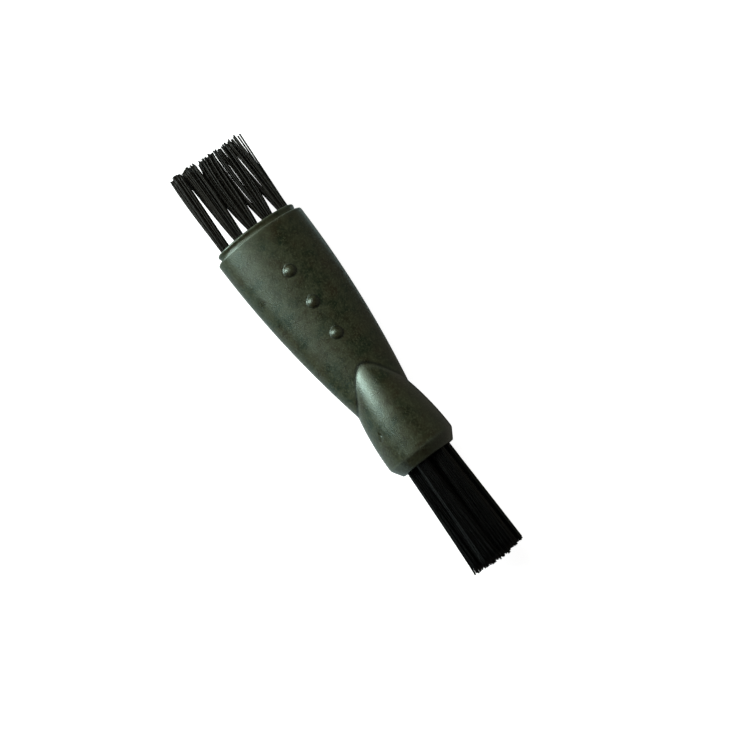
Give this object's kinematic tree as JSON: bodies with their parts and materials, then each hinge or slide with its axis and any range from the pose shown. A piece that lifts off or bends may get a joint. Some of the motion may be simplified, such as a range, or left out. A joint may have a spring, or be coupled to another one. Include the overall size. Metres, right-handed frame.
{
  "type": "club groove brush",
  "caption": "Small double-ended golf club groove brush: flat tapered plastic handle with grip dots, a wide flat bristle brush at one end and a round one at the other.",
  "frame": {"origin": "below the middle of the whole brush, bristles included, level with its lowest point, which is the underside of the round head", "axes": "+X along the brush, from the wide brush to the round brush; +Y across the handle's width; +Z through its thickness"},
  "size_m": [0.07, 0.0142, 0.0096],
  "materials": {
    "handle_plastic": "satin moulded polypropylene, dark olive grey, fine even texture",
    "wide_bristles": "extruded nylon filament, brown black, soft gloss",
    "round_bristles": "extruded nylon filament, black, soft gloss",
    "anchor_wire": "flat drawn wire, satin"
  },
  "bodies": {
    "root": {"handle": "handle_plastic", "wide_tuft_1": "wide_bristles", "wide_tuft_2": "wide_bristles", "wide_tuft_3": "wide_bristles", "wide_tuft_4": "wide_bristles", "wide_tuft_5": "wide_bristles", "round_tuft_1": "round_bristles", "round_tuft_2": "round_bristles", "round_tuft_3": "round_bristles", "round_tuft_4": "round_bristles", "round_tuft_5": "round_bristles", "round_tuft_6": "round_bristles", "round_tuft_7": "round_bristles", "wide_anchor_1": "anchor_wire", "wide_anchor_2": "anchor_wire", "wide_anchor_3": "anchor_wire", "wide_anchor_4": "anchor_wire", "wide_anchor_5": "anchor_wire", "round_anchor_1": "anchor_wire", "round_anchor_2": "anchor_wire", "round_anchor_3": "anchor_wire", "round_anchor_4": "anchor_wire", "round_anchor_5": "anchor_wire", "round_anchor_6": "anchor_wire", "round_anchor_7": "anchor_wire"}
  },
  "joints": []
}
